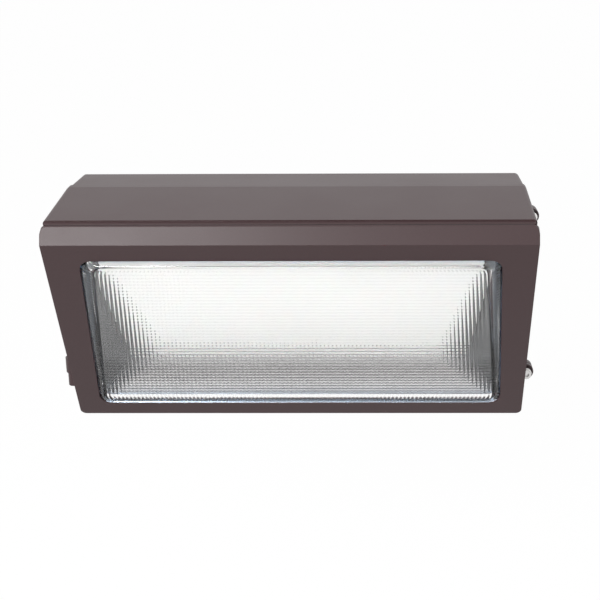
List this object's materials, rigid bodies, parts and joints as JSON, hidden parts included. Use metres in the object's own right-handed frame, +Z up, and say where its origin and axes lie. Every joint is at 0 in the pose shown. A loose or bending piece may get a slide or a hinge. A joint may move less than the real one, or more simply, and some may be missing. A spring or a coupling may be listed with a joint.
{
  "type": "outdoor wall pack light",
  "caption": "Wide wedge-shaped wall light: a tilted fluted glass lens in a chamfered bezel on a hinged hood, closed over a shallow back box by captive screws.",
  "frame": {"origin": "on the wall, in the middle of the back box's foam pad", "axes": "+X to the viewer's right, +Y into the wall, +Z up"},
  "size_m": [0.4915, 0.18, 0.2418],
  "materials": {
    "bronze_casting": "dark bronze powder coat, fine satin texture",
    "black_rubber": "matt",
    "grey_foam": "closed-cell foam, matt",
    "bronze_plug": "dark bronze powder coat",
    "zinc_steel": "zinc plated",
    "stainless": "stainless, satin",
    "black_acetal": "matt",
    "driver_shell": "light grey enamel",
    "black_plastic": "moulded, matt",
    "green_steel": "green passivated head",
    "lead_insulation": "smooth insulation",
    "clear_glass": "pressed, fluted inside",
    "bright_aluminium": "bright rolled sheet",
    "white_board": "white solder mask",
    "led_phosphor": "yellow phosphor under clear silicone",
    "opal_panel": "opal white, satin",
    "raw_aluminium": "mill finish"
  },
  "bodies": {
    "housing": {"back_box": "bronze_casting", "wall_gasket": "grey_foam", "wire_grommet": "black_rubber", "conduit_plugs": "bronze_plug", "plug_orings": "black_rubber", "driver_case": "driver_shell", "driver_screws": "zinc_steel", "surge_protector": "black_plastic", "terminal_block": "black_plastic", "ground_screw": "green_steel", "driver_leads": "lead_insulation", "hinge_pins": "stainless", "hinge_washers": "black_acetal"},
    "hood": {"hood": "bronze_casting", "hood_gasket": "black_rubber", "bezel": "bronze_casting", "bezel_gasket": "black_rubber", "bezel_screws": "zinc_steel", "lens": "clear_glass", "lens_gasket": "black_rubber", "lens_clips": "zinc_steel", "clip_screws": "zinc_steel", "reflector_tray": "bright_aluminium", "led_board_left": "white_board", "led_board_right": "white_board", "leds_left": "led_phosphor", "leds_right": "led_phosphor", "board_screws": "zinc_steel", "diffuser_panel": "opal_panel", "diffuser_posts": "zinc_steel", "diffuser_screws": "zinc_steel", "heat_sink": "raw_aluminium", "heat_sink_screws": "zinc_steel"},
    "closing_washer_lower": {"closing_washer_lower": "stainless"},
    "closing_screw_lower": {"closing_screw_lower": "stainless"},
    "closing_washer_upper": {"closing_washer_upper": "stainless"},
    "closing_screw_upper": {"closing_screw_upper": "stainless"}
  },
  "joints": [
    {"name": "hood_swing", "type": "hinge", "parent": "housing", "child": "hood", "pos_m": [-0.2395, -0.05775, 0], "axis": [0, 0, -1], "range_deg": [0, 100]},
    {"name": "lower_screw_advance", "type": "slide", "parent": "hood", "child": "closing_washer_lower", "axis": [0, 1, 0], "range_m": [0, 0.007]},
    {"name": "lower_screw_turn", "type": "hinge", "parent": "closing_washer_lower", "child": "closing_screw_lower", "pos_m": [0.236, -0.0702, -0.08093], "axis": [0, 1, 0], "range_deg": [0, 2520]},
    {"name": "upper_screw_advance", "type": "slide", "parent": "hood", "child": "closing_washer_upper", "axis": [0, 1, 0], "range_m": [0, 0.007]},
    {"name": "upper_screw_turn", "type": "hinge", "parent": "closing_washer_upper", "child": "closing_screw_upper", "pos_m": [0.236, -0.0702, 0.086], "axis": [0, 1, 0], "range_deg": [0, 2520]}
  ],
  "couplings": [
    {"joint": "lower_screw_turn", "follows": "lower_screw_advance", "rad_per_m": 6283.2},
    {"joint": "upper_screw_turn", "follows": "upper_screw_advance", "rad_per_m": 6283.2}
  ]
}
